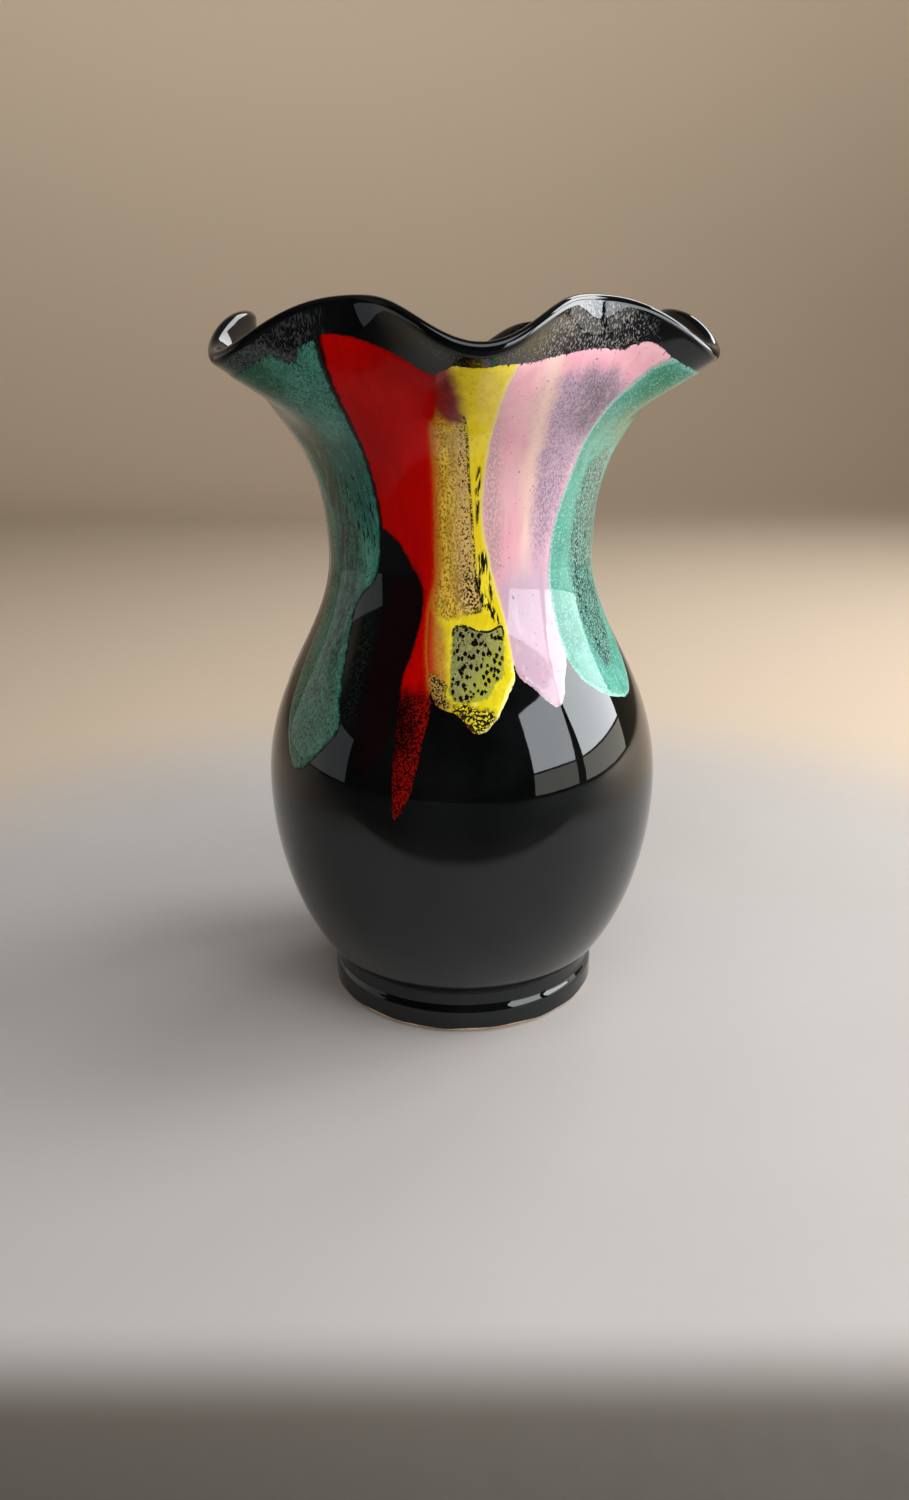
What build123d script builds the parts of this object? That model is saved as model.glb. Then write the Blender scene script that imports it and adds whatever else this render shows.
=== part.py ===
from build123d import *
import os
from math import cos, radians, sin

# Ceramic bud vase: one thrown clay body under a black outside glaze, a black liner glaze
# and twelve coloured glaze runs. +Z is up, and the origin is the centre of the standing ring.
# Azimuth 0 faces -Y and grows towards +X. Millimetres.

os.makedirs("parts", exist_ok=True)

# Driving dimensions
FOOT_RADIUS = 32.9          # outside of the foot ring, over the glaze
FOOT_SHOULDER = 5.4         # height of the foot ring's rounded shoulder
FOOT_WAIST_RADIUS = 31.9    # the narrow band above that shoulder
FOOT_WAIST_HEIGHT = 6.9
FOOT_ROUNDING = 0.7         # the rounding of both corners of the foot ring
BODY_START = (32.0, 9.8)    # the crease where the body leaves the foot ring: radius, height
BODY_START_TILT = 51.6      # the body's direction there, in degrees from upright
BODY_START_PULL = 7.3
BELLY = (46.7, 54.4)        # the widest place: radius, height
BELLY_PULL_DOWN = 22.4
BELLY_PULL_UP = 25.3
NECK = (30.2, 108.2)        # the narrowest place: radius, height
NECK_PULL_DOWN = 17.9
NECK_PULL_UP = 30.8

LOBES = 6                   # waves round the rim
VALLEY_AZIMUTH = 4.0        # a valley of the wave, where the rim is lowest and furthest out
RIM_RADIUS = 50.4           # middle of the rounded lip, averaged round the rim
RIM_RADIUS_WAVE = 5.1
RIM_HEIGHT = 154.7
RIM_HEIGHT_WAVE = 4.4
RIM_BROADENING = 0.75       # makes the crests broad and the valleys narrow
RIM_PULL = 20.7
RIM_RISE = 63.0             # the wall's direction at the lip, in degrees above level
RIM_RISE_WAVE = 30.9
LIP_RADIUS = 1.6            # the lip is rounded over its whole thickness

BELLY_WALL = 4.4            # wall thickness, both glazes counted
NECK_WALL = 4.0
GLAZE = 0.4                 # thickness of the outside glaze and of the liner glaze
GLAZE_FOOT_EDGE = 1.2       # the outside glaze stops this far above the standing ring
SHOULDER_GLAZE = 0.5        # upright thickness of the glaze on the foot's shoulder, as a share
FLOOR_TOP = 10.0            # the inside floor, over the liner glaze
FLOOR_FLAT_RADIUS = 13.0
FLOOR_PULL_OUT = 34.0
FLOOR_PULL_UP = 34.0
RECESS_HEIGHT = 4.5         # the hollow under the foot
RECESS_RADIUS = 25.6
RING_INSIDE_RADIUS = 26.8   # the standing ring lies between this and the foot's chamfer
FOOT_CHAMFER = 0.8
CORE_RADIUS = 10.0          # the middle of the floor is a plain disc, dished by CORE_DISH
CORE_DISH = 0.1
CLAY_CORE_STEP = 0.5        # the clay's disc starts this much further out than the liner's
CLAY_CORE_OVERLAP = 2.0
LINER_CORE_OVERLAP = 0.2
BELOW_GROUND = 0.5          # the foot is made this much too long, then cut off level

SECTION_STEP = 5.0          # degrees between the radial sections of a loft
RUN_THICKNESS = 0.5         # how far a coloured run stands proud of the black glaze
RUN_CLEARANCE = 0.02        # between a run and the black glaze
RUN_GAP = 0.1               # between two runs, in degrees
RUN_TOP = 0.82              # where the runs begin, as a share of the way from neck to lip
RUN_TIP_BULGE = 0.8         # a tip's width two fifths of the way up to the neck, as a share
RUN_TIP_SHARE = 0.4
OUTLINE_REACH = 80.0        # longer than the largest radius

# Each colour comes back every COLOUR_REPEAT degrees. For each: the azimuths where its first run
# starts and ends, and the heights of its three tips.
RUNS = {
    "green": (-78.0, -33.0, (65.0, 78.0, 70.0)),
    "red": (-33.0, -8.5, (60.0, 66.0, 63.0)),
    "yellow": (-8.5, 13.0, (76.0, 70.0, 79.0)),
    "pink": (13.0, 42.0, (80.0, 74.0, 77.0)),
}
COLOUR_REPEAT = 120.0


def lerp(a, b, share):
    return a + (b - a) * share


def shifted(point, direction, distance):
    """A point moved along a direction given in degrees above level."""
    angle = radians(direction)
    return (point[0] + distance * cos(angle), point[1] + distance * sin(angle))


def first_part(controls, share):
    """The control points of the first share of a cubic Bezier curve."""
    rows = [list(controls)]
    while len(rows[-1]) > 1:
        row = rows[-1]
        rows.append([(lerp(a[0], b[0], share), lerp(a[1], b[1], share)) for a, b in zip(row, row[1:])])
    return [row[0] for row in rows]


def radial_plane(azimuth):
    """Upright plane through the axis: sketch x is the radius and sketch y the height."""
    angle = radians(azimuth)
    return Plane(origin=(0, 0, 0), x_dir=(sin(angle), -cos(angle), 0), z_dir=(-cos(angle), -sin(angle), 0))


def facing_plane(azimuth):
    """Upright plane through the axis whose normal points out at the azimuth."""
    angle = radians(azimuth)
    return Plane(origin=(0, 0, 0), x_dir=(cos(angle), sin(angle), 0), z_dir=(sin(angle), -cos(angle), 0))


def foot_to_belly(depth):
    """Control points of the body's lower curve, at a depth below the finished outside."""
    rise = 90 - BODY_START_TILT
    start = shifted(BODY_START, rise + 90, depth)
    belly = (BELLY[0] - depth, BELLY[1])
    return [start, shifted(start, rise, BODY_START_PULL), (belly[0], belly[1] - BELLY_PULL_DOWN), belly]


def belly_to_neck(belly_depth, neck_depth):
    belly = (BELLY[0] - belly_depth, BELLY[1])
    neck = (NECK[0] - neck_depth, NECK[1])
    return [belly, (belly[0], belly[1] + BELLY_PULL_UP), (neck[0], neck[1] - NECK_PULL_DOWN), neck]


def lip(azimuth):
    """The middle of the rounded lip, and the wall's direction there."""
    wave = cos(radians(LOBES * (azimuth - VALLEY_AZIMUTH)))
    double_wave = cos(radians(2 * LOBES * (azimuth - VALLEY_AZIMUTH)))
    radius = RIM_RADIUS + RIM_RADIUS_WAVE * wave
    height = RIM_HEIGHT - RIM_HEIGHT_WAVE * wave - RIM_BROADENING * double_wave
    return (radius, height), RIM_RISE - RIM_RISE_WAVE * wave


def neck_to_lip(azimuth, neck_depth, lip_depth):
    """Control points of the flaring curve. lip_depth runs from 0 outside to twice LIP_RADIUS inside."""
    middle, rise = lip(azimuth)
    neck = (NECK[0] - neck_depth, NECK[1])
    end = shifted(middle, rise - 90, LIP_RADIUS - lip_depth)
    return [neck, (neck[0], neck[1] + NECK_PULL_UP), shifted(end, rise + 180, RIM_PULL), end]


def inner_wall(cover):
    """How deep the inside surface lies at the belly, neck and lip."""
    below = GLAZE - cover
    return (BELLY_WALL - below, NECK_WALL - below, 2 * LIP_RADIUS - below)


def floor_to_belly(cover):
    """Control points of the inside floor and lower wall, with a cover of liner glaze over the clay."""
    belly = (BELLY[0] - inner_wall(cover)[0], BELLY[1])
    start = (FLOOR_FLAT_RADIUS, FLOOR_TOP - GLAZE + cover)
    return [start, (FLOOR_PULL_OUT, start[1]), (belly[0], belly[1] - FLOOR_PULL_UP), belly]


def foot_outline(depth):
    """Corners of the foot ring's outside, from its glaze edge up to the crease."""
    return [
        (FOOT_RADIUS - depth, GLAZE_FOOT_EDGE),
        (FOOT_RADIUS - depth, FOOT_SHOULDER - SHOULDER_GLAZE * depth),
        (FOOT_WAIST_RADIUS - depth, FOOT_WAIST_HEIGHT - SHOULDER_GLAZE * depth),
        foot_to_belly(depth)[0],
    ]


def lip_arc(azimuth, depth):
    """Start, crown and end of the lip's rounding, from outside to inside."""
    middle, rise = lip(azimuth)
    radius = LIP_RADIUS - depth
    return [shifted(middle, rise + turn, radius) for turn in (-90, 0, 90)]


def wedge_azimuths(first, span):
    """Azimuths of the sections of a loft over a span of degrees, both ends included."""
    count = round(span / SECTION_STEP)
    return [first + span * number / count for number in range(count + 1)]


LOBE_SPAN = 360 / LOBES
LOBE_SECTIONS = wedge_azimuths(VALLEY_AZIMUTH, LOBE_SPAN)


# Clay body: wall, floor and foot ring, fired as one
with BuildPart() as clay_lobe:
    for azimuth in LOBE_SECTIONS:
        with BuildSketch(radial_plane(azimuth)):
            belly_depth, neck_depth, lip_depth = inner_wall(0)
            with BuildLine():
                FilletPolyline(*foot_outline(GLAZE), radius=FOOT_ROUNDING)
                Bezier(*foot_to_belly(GLAZE))
                Bezier(*belly_to_neck(GLAZE, GLAZE))
                Bezier(*neck_to_lip(azimuth, GLAZE, GLAZE))
                ThreePointArc(*lip_arc(azimuth, GLAZE))
                Bezier(*neck_to_lip(azimuth, neck_depth, lip_depth))
                Bezier(*belly_to_neck(belly_depth, neck_depth))
                Bezier(*floor_to_belly(0))
                Polyline(
                    floor_to_belly(0)[0],
                    (CORE_RADIUS + CLAY_CORE_STEP, FLOOR_TOP - GLAZE),
                    (CORE_RADIUS + CLAY_CORE_STEP, RECESS_HEIGHT),
                    (RECESS_RADIUS, RECESS_HEIGHT),
                    (RING_INSIDE_RADIUS, 0),
                    (RING_INSIDE_RADIUS, -BELOW_GROUND),
                    (FOOT_RADIUS - GLAZE - FOOT_CHAMFER, -BELOW_GROUND),
                    (FOOT_RADIUS - GLAZE - FOOT_CHAMFER, 0),
                    (FOOT_RADIUS - GLAZE, FOOT_CHAMFER),
                    foot_outline(GLAZE)[0],
                )
            make_face()
    loft()

with BuildPart() as clay_body:
    with PolarLocations(0, LOBES):
        add(clay_lobe.part)
    with BuildSketch(Plane.XY.offset(RECESS_HEIGHT + CORE_DISH)):
        Circle(CORE_RADIUS + CLAY_CORE_STEP + CLAY_CORE_OVERLAP)
    extrude(amount=FLOOR_TOP - GLAZE - RECESS_HEIGHT - 2 * CORE_DISH)
    split(bisect_by=Plane.XY, keep=Keep.TOP)
clay_body.part.label = "clay_body"
export_step(clay_body.part, "parts/clay_body.step")

# Black glaze over the outside and the lip, ending above the standing ring
with BuildPart() as base_lobe:
    for azimuth in LOBE_SECTIONS:
        with BuildSketch(radial_plane(azimuth)):
            with BuildLine():
                FilletPolyline(*foot_outline(0), radius=FOOT_ROUNDING)
                Bezier(*foot_to_belly(0))
                Bezier(*belly_to_neck(0, 0))
                Bezier(*neck_to_lip(azimuth, 0, 0))
                ThreePointArc(*lip_arc(azimuth, 0))
                Line(lip_arc(azimuth, 0)[2], lip_arc(azimuth, GLAZE)[2])
                ThreePointArc(*lip_arc(azimuth, GLAZE))
                Bezier(*neck_to_lip(azimuth, GLAZE, GLAZE))
                Bezier(*belly_to_neck(GLAZE, GLAZE))
                Bezier(*foot_to_belly(GLAZE))
                FilletPolyline(*foot_outline(GLAZE), radius=FOOT_ROUNDING)
                Line(foot_outline(GLAZE)[0], foot_outline(0)[0])
            make_face()
    loft()

with BuildPart() as base_glaze:
    with PolarLocations(0, LOBES):
        add(base_lobe.part)
base_glaze.part.label = "base_glaze"
export_step(base_glaze.part, "parts/base_glaze.step")

# Black glaze poured over the inside, up to the lip
with BuildPart() as liner_lobe:
    for azimuth in LOBE_SECTIONS:
        clay_top = neck_to_lip(azimuth, *inner_wall(0)[1:])
        liner_top = neck_to_lip(azimuth, *inner_wall(GLAZE)[1:])
        with BuildSketch(radial_plane(azimuth)):
            with BuildLine():
                Bezier(*floor_to_belly(0))
                Bezier(*belly_to_neck(*inner_wall(0)[:2]))
                Bezier(*clay_top)
                Line(clay_top[3], liner_top[3])
                Bezier(*liner_top)
                Bezier(*belly_to_neck(*inner_wall(GLAZE)[:2]))
                Bezier(*floor_to_belly(GLAZE))
                Polyline(
                    floor_to_belly(GLAZE)[0],
                    (CORE_RADIUS, FLOOR_TOP),
                    (CORE_RADIUS, FLOOR_TOP - GLAZE),
                    floor_to_belly(0)[0],
                )
            make_face()
    loft()

with BuildPart() as liner_glaze:
    with PolarLocations(0, LOBES):
        add(liner_lobe.part)
    with BuildSketch(Plane.XY.offset(FLOOR_TOP - GLAZE - CORE_DISH)):
        Circle(CORE_RADIUS + LINER_CORE_OVERLAP)
    extrude(amount=GLAZE)
liner_glaze.part.label = "liner_glaze"
export_step(liner_glaze.part, "parts/liner_glaze.step")


# Coloured glaze runs, each starting in a band under the lip and ending in a rounded tip
def run_skin(azimuth, height_above):
    """Two curves, belly to neck and neck to the run's top, at a height above the black glaze."""
    return (
        belly_to_neck(-height_above, -height_above),
        first_part(neck_to_lip(azimuth, -height_above, -height_above), RUN_TOP),
    )


for colour, (start_azimuth, end_azimuth, tip_heights) in RUNS.items():
    for number, tip_height in enumerate(tip_heights):
        start = start_azimuth + COLOUR_REPEAT * number + RUN_GAP / 2
        span = end_azimuth - start_azimuth - RUN_GAP
        half_width = NECK[0] * sin(radians(span / 2))
        with BuildPart() as run:
            for azimuth in wedge_azimuths(start, span):
                with BuildSketch(radial_plane(azimuth)):
                    lower_in, upper_in = run_skin(azimuth, RUN_CLEARANCE)
                    lower_out, upper_out = run_skin(azimuth, RUN_THICKNESS)
                    with BuildLine():
                        Bezier(*lower_out)
                        Bezier(*upper_out)
                        Line(upper_out[3], upper_in[3])
                        Bezier(*upper_in)
                        Bezier(*lower_in)
                        Line(lower_in[0], lower_out[0])
                    make_face()
            loft()
            with BuildSketch(facing_plane(start + span / 2)):
                bulge_height = lerp(tip_height, NECK[1], RUN_TIP_SHARE)
                with BuildLine():
                    Polyline(
                        (-half_width, NECK[1]),
                        (-OUTLINE_REACH, RIM_HEIGHT + LIP_RADIUS),
                        (OUTLINE_REACH, RIM_HEIGHT + LIP_RADIUS),
                        (half_width, NECK[1]),
                    )
                    Spline(
                        (half_width, NECK[1]),
                        (RUN_TIP_BULGE * half_width, bulge_height),
                        (0, tip_height),
                        (-RUN_TIP_BULGE * half_width, bulge_height),
                        (-half_width, NECK[1]),
                    )
                make_face()
            extrude(amount=OUTLINE_REACH, mode=Mode.INTERSECT)
        name = f"{colour}_run_{number + 1}"
        run.part.label = name
        export_step(run.part, f"parts/{name}.step")
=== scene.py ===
import bpy
import numpy as np
from math import cos, pi, radians, sin
from mathutils import Matrix, Vector


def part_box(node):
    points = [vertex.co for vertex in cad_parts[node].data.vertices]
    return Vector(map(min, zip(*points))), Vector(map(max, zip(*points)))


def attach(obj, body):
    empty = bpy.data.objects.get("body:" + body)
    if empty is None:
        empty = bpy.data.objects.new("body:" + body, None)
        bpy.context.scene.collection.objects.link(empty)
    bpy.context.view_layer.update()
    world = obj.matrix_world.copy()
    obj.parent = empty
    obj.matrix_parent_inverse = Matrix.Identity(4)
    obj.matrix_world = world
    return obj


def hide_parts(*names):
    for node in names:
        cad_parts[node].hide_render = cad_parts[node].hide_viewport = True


# Looks of a ceramic bud vase: black glaze outside and inside, and twelve coloured glaze runs, on
# the packed clay body. A place on the outside has an azimuth in degrees (0 faces -Y, growing
# towards +X) and a way up the wall: 0 at the crease over the foot, 1 at the belly, 2 at the neck,
# 3 at the lip and 4 at the lip's inner end. Lengths are in millimetres until a mesh is made.

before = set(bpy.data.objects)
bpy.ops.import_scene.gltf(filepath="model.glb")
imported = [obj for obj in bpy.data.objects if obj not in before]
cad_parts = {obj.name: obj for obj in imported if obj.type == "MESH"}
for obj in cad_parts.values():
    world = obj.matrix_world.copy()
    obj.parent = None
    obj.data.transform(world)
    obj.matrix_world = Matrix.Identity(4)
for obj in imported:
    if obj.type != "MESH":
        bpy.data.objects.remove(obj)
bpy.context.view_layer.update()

MM = 0.001

# The wall's shape, as in the CAD design
FOOT_RADIUS = 32.9
FOOT_SHOULDER = 5.4
FOOT_WAIST_RADIUS = 31.9
FOOT_WAIST_HEIGHT = 6.9
FOOT_ROUNDING = 0.7
BODY_START = (32.0, 9.8)
BODY_START_RISE = 38.4
BODY_START_PULL = 7.3
BELLY = (46.7, 54.4)
BELLY_PULL_DOWN = 22.4
BELLY_PULL_UP = 25.3
NECK = (30.2, 108.2)
NECK_PULL_DOWN = 17.9
NECK_PULL_UP = 30.8
LOBES = 6
VALLEY_AZIMUTH = 4.0
RIM_RADIUS = 50.4
RIM_RADIUS_WAVE = 5.1
RIM_HEIGHT = 154.7
RIM_HEIGHT_WAVE = 4.4
RIM_BROADENING = 0.75
RIM_PULL = 20.7
RIM_RISE = 63.0
RIM_RISE_WAVE = 30.9
LIP_RADIUS = 1.6
BELLY_WALL = 4.4
NECK_WALL = 4.0
GLAZE = 0.4
GLAZE_FOOT_EDGE = 1.2
FLOOR_TOP = 10.0
FLOOR_FLAT_RADIUS = 13.0
FLOOR_PULL = 34.0

# The glaze surface
RIPPLE = 0.05  # the slow unevenness of a hand-glazed wall
FOOT_EDGE_WAVER = 0.22  # how unevenly the glaze stops above the standing ring
RUN_THICKNESS = 0.24  # how far a coloured run stands proud of the black glaze
RUN_EDGE_WIDTH = 1.7  # over this distance its free edge rounds down to the black glaze
RUN_SINK = 0.07  # beyond its edge a run dips this far under the black glaze
RUN_MARGIN = 1.3  # how far it goes on under the black glaze
RUN_UNDERSIDE = 0.15  # its closed underside lies this far below the black glaze's surface
EDGE_WANDER = 0.12  # uneven free edges

# Mesh sizes
COLUMNS = 360
RUN_ROWS = 200
RUN_COLUMNS = 48
OUTSIDE_ROWS = (48, 44, 52, 14)
INSIDE_ROWS = (36, 36, 44)
FLOOR_SIDES = 96

# Flat chart of the wall, for distances between places on it
CHART_ACROSS = 0.64  # millimetres for a degree of azimuth, averaged from neck to lip
CHART_ALONG = 50.0  # millimetres for one unit of way


# ---- shape of the wall
def pair(radius, height):
    return np.stack(np.broadcast_arrays(np.asarray(radius, float), np.asarray(height, float)), -1)


def shifted(point, direction, distance):
    """A point of the section moved along a direction in degrees above level."""
    angle = np.radians(direction)
    return point + pair(distance * np.cos(angle), distance * np.sin(angle))


def bezier(first, second, third, fourth, share):
    share = np.clip(share, 0, 1)[..., None]
    rest = 1 - share
    return rest**3 * first + 3 * rest**2 * share * second + 3 * rest * share**2 * third + share**3 * fourth


def smooth(value):
    value = np.clip(value, 0, 1)
    return value * value * (3 - 2 * value)


def lip(azimuth):
    """The middle of the rounded lip, and the wall's direction there."""
    turn = np.radians(LOBES * (azimuth - VALLEY_AZIMUTH))
    radius = RIM_RADIUS + RIM_RADIUS_WAVE * np.cos(turn)
    height = RIM_HEIGHT - RIM_HEIGHT_WAVE * np.cos(turn) - RIM_BROADENING * np.cos(2 * turn)
    return pair(radius, height), RIM_RISE - RIM_RISE_WAVE * np.cos(turn)


def belly_to_neck(way, belly_depth, neck_depth):
    belly = BELLY[0] - belly_depth
    neck = NECK[0] - neck_depth
    return bezier(
        pair(belly, BELLY[1]),
        pair(belly, BELLY[1] + BELLY_PULL_UP),
        pair(neck, NECK[1] - NECK_PULL_DOWN),
        pair(neck, NECK[1]),
        way - 1,
    )


def neck_to_lip(azimuth, way, neck_depth, lip_depth):
    middle, rise = lip(azimuth)
    neck = NECK[0] - neck_depth
    end = shifted(middle, rise - 90, LIP_RADIUS - lip_depth)
    pull = shifted(end, rise + 180, RIM_PULL)
    return bezier(pair(neck, NECK[1]), pair(neck, NECK[1] + NECK_PULL_UP), pull, end, way - 2)


def outside(azimuth, way, depth=0.0):
    """Radius and height of the outside wall, at a depth below its surface."""
    azimuth, way = np.broadcast_arrays(np.asarray(azimuth, float), np.asarray(way, float))
    start = shifted(pair(*BODY_START), BODY_START_RISE + 90, depth)
    pull = shifted(start, BODY_START_RISE, BODY_START_PULL)
    belly = pair(BELLY[0] - depth, BELLY[1])
    below = pair(BELLY[0] - depth, BELLY[1] - BELLY_PULL_DOWN)
    middle, rise = lip(azimuth)
    turn = 180 * (np.clip(way, 3, 4) - 3) - 90
    parts = (
        bezier(start, pull, below, belly, way),
        belly_to_neck(way, depth, depth),
        neck_to_lip(azimuth, way, depth, depth),
        shifted(middle, rise + turn, LIP_RADIUS - depth),
    )
    return np.select([(way < 1)[..., None], (way < 2)[..., None], (way < 3)[..., None]], parts[:3], parts[3])


def inside(azimuth, way, cover):
    """Radius and height of the inside: way is 0 at the floor's flat middle and 3 at the lip."""
    azimuth, way = np.broadcast_arrays(np.asarray(azimuth, float), np.asarray(way, float))
    below = GLAZE - cover
    belly_depth = BELLY_WALL - below
    neck_depth = NECK_WALL - below
    floor = FLOOR_TOP - below
    belly = BELLY[0] - belly_depth
    low = bezier(
        pair(FLOOR_FLAT_RADIUS, floor),
        pair(FLOOR_PULL, floor),
        pair(belly, BELLY[1] - FLOOR_PULL),
        pair(belly, BELLY[1]),
        way,
    )
    high = neck_to_lip(azimuth, way, neck_depth, 2 * LIP_RADIUS - below)
    middle = belly_to_neck(way, belly_depth, neck_depth)
    return np.select([(way < 1)[..., None], (way < 2)[..., None]], [low, middle], high)


def ripple(azimuth, height):
    """Slow unevenness of the wall in millimetres, none at the foot."""
    angle = np.radians(azimuth)
    waves = (
        np.sin(3 * angle + height / 9.0 + 0.4)
        + np.sin(5 * angle - height / 13.0 + 2.1)
        + 0.6 * np.sin(11 * angle + height / 6.5 + 4.0)
        + 0.5 * np.sin(height / 4.1 + 2 * np.sin(2 * angle))
    )
    return RIPPLE * waves / 1.6 * smooth((height - 12) / 20)


def placed(azimuth, section):
    """Points in metres from radius and height."""
    angle = np.radians(np.broadcast_to(azimuth, section.shape[:-1]))
    radius = section[..., 0] + ripple(azimuth, section[..., 1])
    return np.stack([radius * np.sin(angle), -radius * np.cos(angle), section[..., 1]], -1) * MM


def rounded(corners, radius, steps=6):
    """A line through corners, with its inner corners rounded."""
    points = [np.array(corners[0])]
    for before, corner, after in zip(corners, corners[1:], corners[2:]):
        corner = np.array(corner)
        start = corner + (np.array(before) - corner) / np.linalg.norm(np.array(before) - corner) * radius
        end = corner + (np.array(after) - corner) / np.linalg.norm(np.array(after) - corner) * radius
        for share in np.linspace(0, 1, steps):
            points.append((1 - share) ** 2 * start + 2 * share * (1 - share) * corner + share**2 * end)
    return points + [np.array(corners[-1])]


# ---- meshes
def make_object(name, points, faces, material, attributes=None):
    mesh = bpy.data.meshes.new(name)
    mesh.from_pydata(points.reshape(-1, 3).tolist(), [], faces)
    for key, values in (attributes or {}).items():
        layer = mesh.attributes.new(key, "FLOAT", "POINT")
        layer.data.foreach_set("value", np.asarray(values, np.float32).ravel())
    mesh.materials.append(material)
    mesh.shade_smooth()
    mesh.set_sharp_from_angle(angle=radians(42))
    mesh.update()
    piece = bpy.data.objects.new(name, mesh)
    bpy.context.scene.collection.objects.link(piece)
    return piece


def grid_faces(rows, columns, first=0, wrap=False, flip=False):
    """Quads of a grid of points, seen from the side where rows go up and columns to the right."""
    corner = first + np.arange(rows - 1)[:, None] * columns + np.arange(columns if wrap else columns - 1)
    beside = corner + 1
    if wrap:
        beside[:, -1] -= columns
    quads = np.stack([corner, beside, beside + columns, corner + columns], -1).reshape(-1, 4)
    return (quads[:, ::-1] if flip else quads).tolist()


def turned_solid(name, rows, material, closed, attributes=None):
    """A solid from rings of points. A closed loop of rings, or one that starts and ends on the axis."""
    count, columns = rows.shape[:2]
    if closed:
        faces = np.array(grid_faces(count + 1, columns, wrap=True)) % (count * columns)
        return make_object(name, rows, faces.tolist(), material, attributes)
    rings = rows[1:-1]
    points = np.concatenate([rings.reshape(-1, 3), rows[0, :1], rows[-1, :1]])
    faces = grid_faces(count - 2, columns, wrap=True)
    start, end = len(points) - 2, len(points) - 1
    last = (count - 3) * columns
    for column in range(columns):
        beside = (column + 1) % columns
        faces.append([start, beside, column])
        faces.append([last + column, last + beside, end])
    return make_object(name, points, faces, material, attributes)


def sheet_solid(name, top, bottom, material, attributes):
    """A closed thin solid between two grids of points of the same size."""
    rows, columns = top.shape[:2]
    size = rows * columns
    faces = grid_faces(rows, columns) + grid_faces(rows, columns, first=size, flip=True)
    border = list(range(columns))
    border += [row * columns + columns - 1 for row in range(1, rows)]
    border += [(rows - 1) * columns + column for column in range(columns - 2, -1, -1)]
    border += [row * columns for row in range(rows - 2, 0, -1)]
    for here, there in zip(border, border[1:] + border[:1]):
        faces.append([here, size + here, size + there, there])
    both = {key: np.concatenate([values.ravel(), values.ravel()]) for key, values in attributes.items()}
    return make_object(name, np.stack([top, bottom]), faces, material, both)


def normals(points):
    """Outward normals of a grid whose rows go up and whose columns go to the right."""
    normal = np.cross(np.gradient(points, axis=1), np.gradient(points, axis=0))
    return normal / np.linalg.norm(normal, axis=-1, keepdims=True)


# ---- places on the wall
def chart(azimuth, way):
    azimuth, way = np.broadcast_arrays(np.asarray(azimuth, float), np.asarray(way, float))
    return np.stack([azimuth * CHART_ACROSS, way * CHART_ALONG], -1)


def curved(points, closed, steps=5):
    """A smooth line through points, as a Catmull-Rom curve."""
    points = np.array(points, float)
    if closed:
        points = np.concatenate([points[-1:], points, points[:2]])
    else:
        points = np.concatenate([2 * points[:1] - points[1:2], points, 2 * points[-1:] - points[-2:-1]])
    share = np.linspace(0, 1, steps, endpoint=False)[:, None]
    pieces = []
    for a, b, c, d in zip(points, points[1:], points[2:], points[3:]):
        slope = (c - a) / 2
        next_slope = (d - b) / 2
        cubic = 2 * b - 2 * c + slope + next_slope
        square = 3 * c - 3 * b - 2 * slope - next_slope
        pieces.append(b + slope * share + square * share**2 + cubic * share**3)
    line = np.concatenate(pieces)
    return line if closed else np.concatenate([line, points[-2:-1]])


def distance_to(places, starts, ends):
    """Shortest distance in the chart from each place to any of the line's pieces."""
    nearest = np.full(places.shape[:-1], np.inf)
    for start, end in zip(starts, ends):
        run = end - start
        share = np.clip(((places - start) @ run) / max(run @ run, 1e-9), 0, 1)
        gap = places - start - share[..., None] * run
        nearest = np.minimum(nearest, np.einsum("...i,...i", gap, gap))
    return np.sqrt(nearest)


def inside_outline(places, outline):
    """Whether each place lies inside a closed outline."""
    x, y = places[..., 0], places[..., 1]
    found = np.zeros(x.shape, bool)
    for a, b in zip(outline, np.roll(outline, -1, axis=0)):
        crosses = (a[1] > y) != (b[1] > y)
        height = b[1] - a[1] if b[1] != a[1] else 1e-9
        found ^= crosses & (x < (b[0] - a[0]) * (y - a[1]) / height + a[0])
    return found


def depth_inside(places, outline):
    """How far each place lies inside an outline given as azimuth and way, in chart millimetres."""
    line = curved([(azimuth * CHART_ACROSS, way * CHART_ALONG) for azimuth, way in outline], closed=True)
    distance = distance_to(places, line, np.roll(line, -1, axis=0))
    return np.where(inside_outline(places, line), distance, -distance)


# ---- where the coloured runs lie
# Edges go from the lip down, each point a way and an azimuth.
GREEN_RED = [(3, -33.5), (2.85, -33.3), (2.6, -33), (2.4, -32.8), (2.2, -32.3), (2.1, -32)]
RED_YELLOW = [(3, -4), (2.85, -5), (2.75, -5.4), (2.6, -7), (2.5, -8.6), (2.3, -9), (2.1, -9.5)]
RED_YELLOW += [(1.95, -10), (1.85, -12), (1.7, -12), (1.6, -11), (1.5, -9.6)]
YELLOW_PINK = [(3, 13), (2.9, 11.6), (2.8, 10.7), (2.6, 10.3), (2.4, 9.6), (2.2, 8.5), (2.1, 8.9)]
YELLOW_PINK += [(2.03, 11.2), (1.95, 13.4), (1.85, 15.8), (1.75, 17.2), (1.6, 17.8)]
PINK_GREEN = [(3, 55), (2.93, 54), (2.85, 51), (2.75, 49), (2.65, 46.5), (2.5, 44.5), (2.35, 44)]
PINK_GREEN += [(2.25, 43.3), (2.15, 41), (2.08, 39), (1.95, 37.7), (1.8, 38), (1.7, 38.2), (1.6, 38.8)]


def turned(edge, degrees):
    return [(way, azimuth + degrees) for way, azimuth in edge]


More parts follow.
